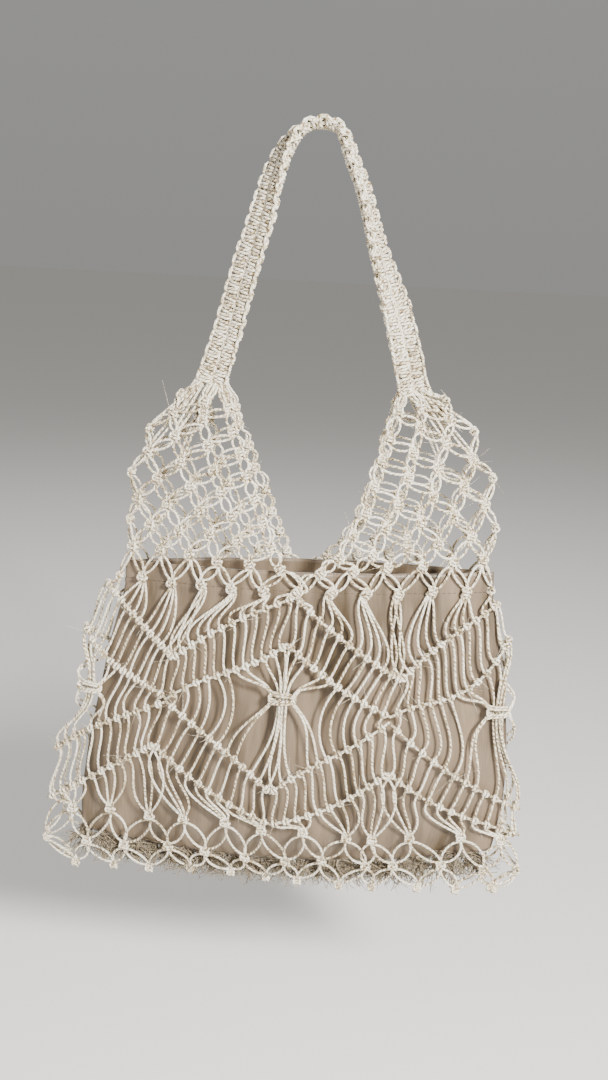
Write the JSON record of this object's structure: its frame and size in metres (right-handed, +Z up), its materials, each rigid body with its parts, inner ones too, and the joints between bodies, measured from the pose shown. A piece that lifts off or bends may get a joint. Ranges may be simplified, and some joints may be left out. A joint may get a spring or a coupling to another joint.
{
  "type": "knotted straw-twine shoulder bag",
  "caption": "Openwork shoulder bag of knotted straw twine with a one-piece knotted strap, zigzag ridges and a loose cloth pouch inside.",
  "frame": {"origin": "the hanging point: on the underside of the strap at the top of its loop, in the middle of its width", "axes": "+Z up as it hangs, +X to the right seen from the front, and the front faces -Y"},
  "size_m": [0.3822, 0.0778, 0.5789],
  "materials": {
    "straw_twine": "natural two-ply straw twine, pale with brown flecks, slightly glossy",
    "frayed_straw": "frayed loose straw fibres, matte",
    "lining_cloth": "satin-faced lining cloth, taupe, with a soft sheen"
  },
  "bodies": {
    "root": {"handle_strap": "straw_twine", "shoulder_net_left": "straw_twine", "shoulder_net_right": "straw_twine", "upper_ridge": "straw_twine", "diamond_ridge": "straw_twine", "lower_ridge": "straw_twine", "sheaf_front": "straw_twine", "sheaf_right": "straw_twine", "sheaf_back": "straw_twine", "sheaf_left": "straw_twine", "base_net": "straw_twine", "frayed_ends": "frayed_straw", "lining_pouch": "lining_cloth"}
  },
  "joints": []
}
